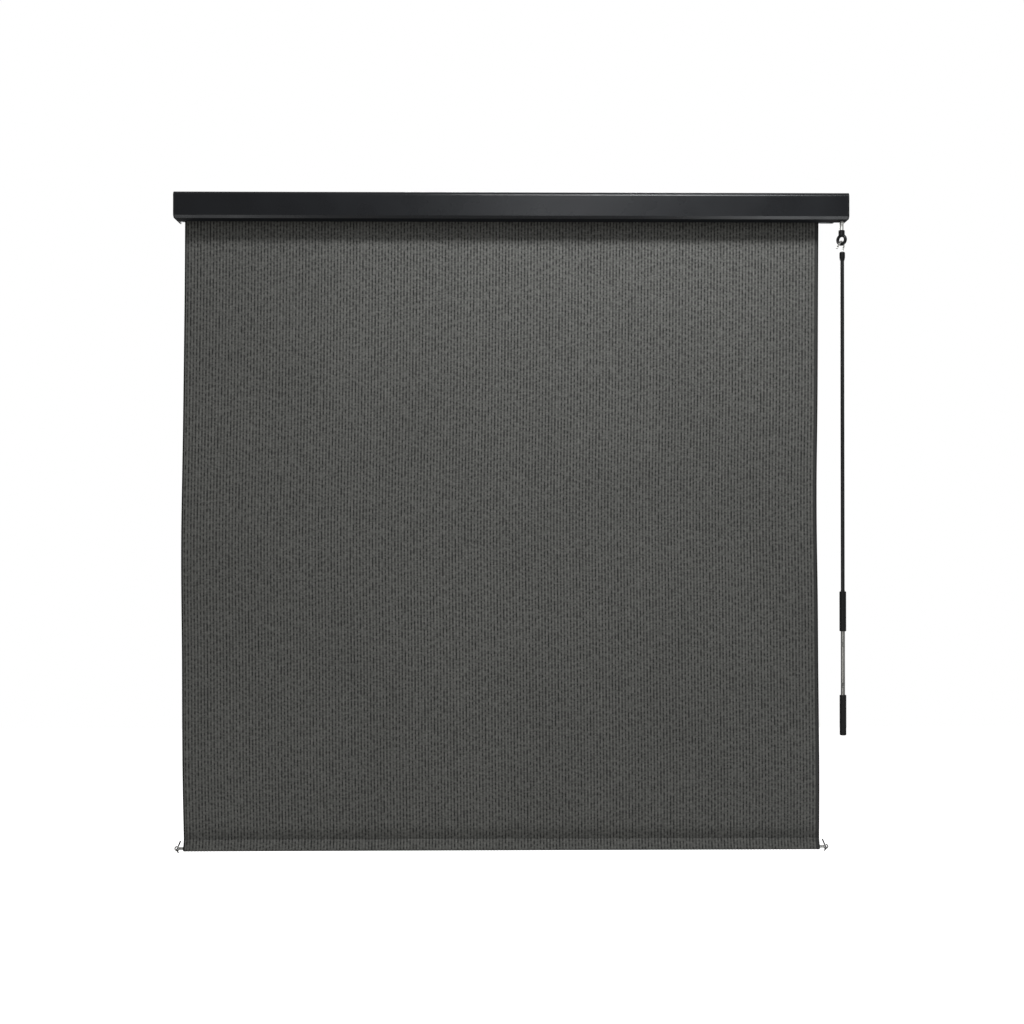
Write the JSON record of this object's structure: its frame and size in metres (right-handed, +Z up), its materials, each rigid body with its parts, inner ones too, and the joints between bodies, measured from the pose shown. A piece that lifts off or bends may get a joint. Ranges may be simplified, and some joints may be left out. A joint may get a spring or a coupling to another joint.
{
  "type": "outdoor roller blind",
  "caption": "Wall-hung roller blind with a closed hood, knitted mesh drop, weighted hem rail and a hooked folding crank that winds it through a worm gear.",
  "frame": {"origin": "on the wall plane, level with the roller's axis, midway between the wall holes", "axes": "+X to the right seen from the front, +Y towards the wall, +Z up"},
  "size_m": [2.1126, 0.1, 2.0656],
  "materials": {
    "pelmet_black": "satin black powder coat on aluminium",
    "cap_black": "moulded black plastic",
    "zinc_steel": "zinc plated steel",
    "tube_aluminium": "mill finish aluminium",
    "inner_plastic": "moulded nylon",
    "bush_plastic": "natural acetal",
    "gear_zinc": "die-cast zinc",
    "gear_steel": "turned steel",
    "knit": "knitted outdoor mesh",
    "crank_black": "black powder coat",
    "grip_black": "black plastic sleeve",
    "eye_black": "black plastic coating",
    "bright_nickel": "bright nickel plate"
  },
  "bodies": {
    "housing": {"pelmet_cover": "pelmet_black", "left_end_cap": "cap_black", "right_end_cap": "cap_black", "end_cap_screws": "zinc_steel", "cover_screws": "zinc_steel", "idle_bracket": "zinc_steel", "gear_bracket": "zinc_steel", "idle_bush": "bush_plastic", "gear_case": "gear_zinc", "gear_cover": "gear_zinc", "gearbox_screws": "zinc_steel", "worm_washers": "bush_plastic", "fabric_drop": "knit"},
    "roller": {"roller_tube": "tube_aluminium", "idle_plug": "inner_plastic", "idle_pin": "gear_steel", "drive_plug": "inner_plastic", "drive_shaft": "gear_steel", "worm_wheel": "gear_steel", "fabric_roll": "knit", "fabric_keeper": "bush_plastic"},
    "gear_eye": {"worm_shaft": "gear_steel", "eye_barrel": "bright_nickel", "eye_cross_pin": "gear_steel", "eye_ring": "eye_black"},
    "crank": {"crank_hook": "bright_nickel", "crank_ferrule": "eye_black", "crank_rod": "crank_black", "rod_fork": "bright_nickel", "upper_hinge_pin": "bright_nickel"},
    "rod_grip": {"upper_grip": "grip_black"},
    "arm": {"crank_arm": "bright_nickel"},
    "handle": {"handle_spindle": "bright_nickel", "lower_hinge_pin": "bright_nickel", "handle_screw": "zinc_steel"},
    "handle_grip": {"lower_grip": "grip_black"},
    "rail": {"fabric_hem": "knit", "bottom_rail": "tube_aluminium", "left_rail_plug": "cap_black", "right_rail_plug": "cap_black", "left_eye_bolt": "bright_nickel", "right_eye_bolt": "bright_nickel", "left_tie_hook": "eye_black", "right_tie_hook": "eye_black"}
  },
  "joints": [
    {"name": "blind_lift", "type": "slide", "parent": "housing", "child": "rail", "axis": [0, 0, 1], "range_m": [0, 1.9], "deforming": ["fabric_drop"]},
    {"name": "roller_spin", "type": "hinge", "parent": "housing", "child": "roller", "pos_m": [0, -0.047, 0], "axis": [1, 0, 0], "range_deg": [-2, 3602]},
    {"name": "eye_spin", "type": "hinge", "parent": "housing", "child": "gear_eye", "pos_m": [1.034, -0.064, 0], "axis": [0, 0, 1], "range_deg": [-14, 25214]},
    {"name": "crank_swing", "type": "hinge", "parent": "gear_eye", "child": "crank", "pos_m": [1.034, -0.064, -0.1126], "axis": [-0.7071, 0.7071, 0], "range_deg": [0, 60]},
    {"name": "rod_grip_spin", "type": "hinge", "parent": "crank", "child": "rod_grip", "pos_m": [1.03647, -0.06153, -1.265], "axis": [0, 0, 1], "continuous": true},
    {"name": "arm_fold", "type": "hinge", "parent": "crank", "child": "arm", "pos_m": [1.03647, -0.06153, -1.3675], "axis": [0, -1, 0], "range_deg": [0, 90]},
    {"name": "handle_fold", "type": "hinge", "parent": "arm", "child": "handle", "pos_m": [1.03647, -0.06153, -1.496], "axis": [0, 1, 0], "range_deg": [0, 90]},
    {"name": "handle_grip_spin", "type": "hinge", "parent": "handle", "child": "handle_grip", "pos_m": [1.03647, -0.06153, -1.59], "axis": [0, 0, 1], "continuous": true}
  ],
  "couplings": [
    {"joint": "roller_spin", "follows": "blind_lift", "rad_per_m": 33.069},
    {"joint": "eye_spin", "follows": "blind_lift", "rad_per_m": 231.49}
  ]
}
